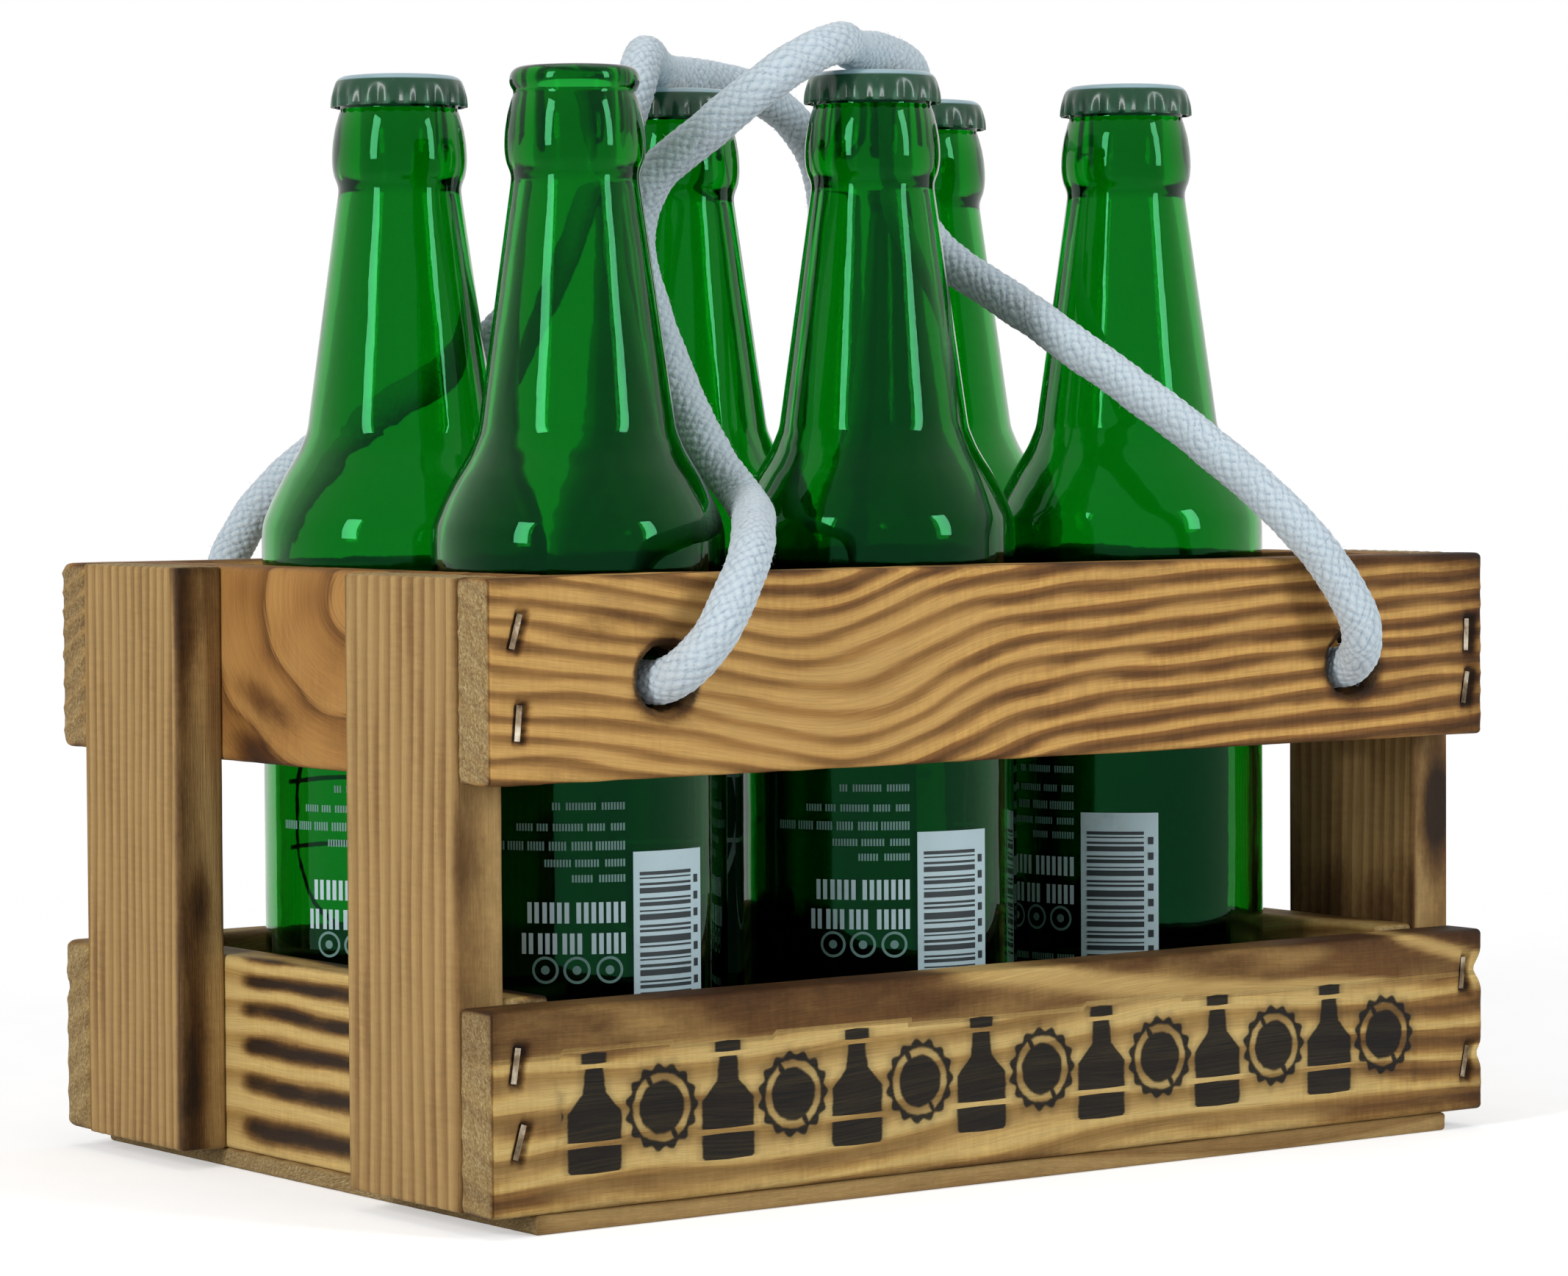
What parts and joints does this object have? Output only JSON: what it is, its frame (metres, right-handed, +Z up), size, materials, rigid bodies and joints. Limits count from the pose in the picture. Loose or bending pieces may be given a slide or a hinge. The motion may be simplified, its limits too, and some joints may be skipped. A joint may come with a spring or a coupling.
{
  "type": "wooden bottle carrier",
  "caption": "Open slatted crate with rope handles that carries long neck bottles standing in two rows.",
  "frame": {"origin": "middle of the crate's footprint, on the underside of the base board", "axes": "+X to the right along the long slats, +Y from the front slats to the back, +Z up"},
  "size_m": [0.262, 0.2049, 0.2425],
  "materials": {
    "base_wood": "sanded",
    "pale_wood": "brushed",
    "brushed_wood": "brushed, lightly scorched",
    "scorched_wood": "brushed and scorched",
    "staple_steel": "dull galvanised",
    "cotton_rope": "plaited cotton",
    "green_glass": "clear green",
    "cap_paint": "gloss skirt, pale top",
    "cap_liner": "matt"
  },
  "bodies": {
    "crate": {"base_board": "base_wood", "front_upper_slat": "scorched_wood", "front_lower_slat": "pale_wood", "back_upper_slat": "scorched_wood", "back_lower_slat": "pale_wood", "left_upper_end": "brushed_wood", "left_lower_end": "pale_wood", "right_upper_end": "brushed_wood", "right_lower_end": "pale_wood", "front_left_post": "brushed_wood", "front_right_post": "brushed_wood", "back_left_post": "brushed_wood", "back_right_post": "brushed_wood", "front_staples": "staple_steel", "back_staples": "staple_steel", "end_staples": "staple_steel", "base_staples": "staple_steel", "front_rope": "cotton_rope", "back_rope": "cotton_rope", "front_left_knot": "cotton_rope", "front_right_knot": "cotton_rope", "back_left_knot": "cotton_rope", "back_right_knot": "cotton_rope"},
    "front_left_drink": {"front_left_bottle": "green_glass"},
    "front_middle_drink": {"front_middle_bottle": "green_glass", "front_middle_cap": "cap_paint", "front_middle_liner": "cap_liner"},
    "front_right_drink": {"front_right_bottle": "green_glass", "front_right_cap": "cap_paint", "front_right_liner": "cap_liner"},
    "back_left_drink": {"back_left_bottle": "green_glass", "back_left_cap": "cap_paint", "back_left_liner": "cap_liner"},
    "back_middle_drink": {"back_middle_bottle": "green_glass", "back_middle_cap": "cap_paint", "back_middle_liner": "cap_liner"},
    "back_right_drink": {"back_right_bottle": "green_glass", "back_right_cap": "cap_paint", "back_right_liner": "cap_liner"}
  },
  "joints": [
    {"name": "front_left_lift", "type": "slide", "parent": "crate", "child": "front_left_drink", "axis": [0, 0, 1], "range_m": [0, 0.16]},
    {"name": "front_middle_lift", "type": "slide", "parent": "crate", "child": "front_middle_drink", "axis": [0, 0, 1], "range_m": [0, 0.16], "deforming": ["front_rope"]},
    {"name": "front_right_lift", "type": "slide", "parent": "crate", "child": "front_right_drink", "axis": [0, 0, 1], "range_m": [0, 0.16]},
    {"name": "back_left_lift", "type": "slide", "parent": "crate", "child": "back_left_drink", "axis": [0, 0, 1], "range_m": [0, 0.16]},
    {"name": "back_middle_lift", "type": "slide", "parent": "crate", "child": "back_middle_drink", "axis": [0, 0, 1], "range_m": [0, 0.16], "deforming": ["back_rope"]},
    {"name": "back_right_lift", "type": "slide", "parent": "crate", "child": "back_right_drink", "axis": [0, 0, 1], "range_m": [0, 0.16]}
  ]
}
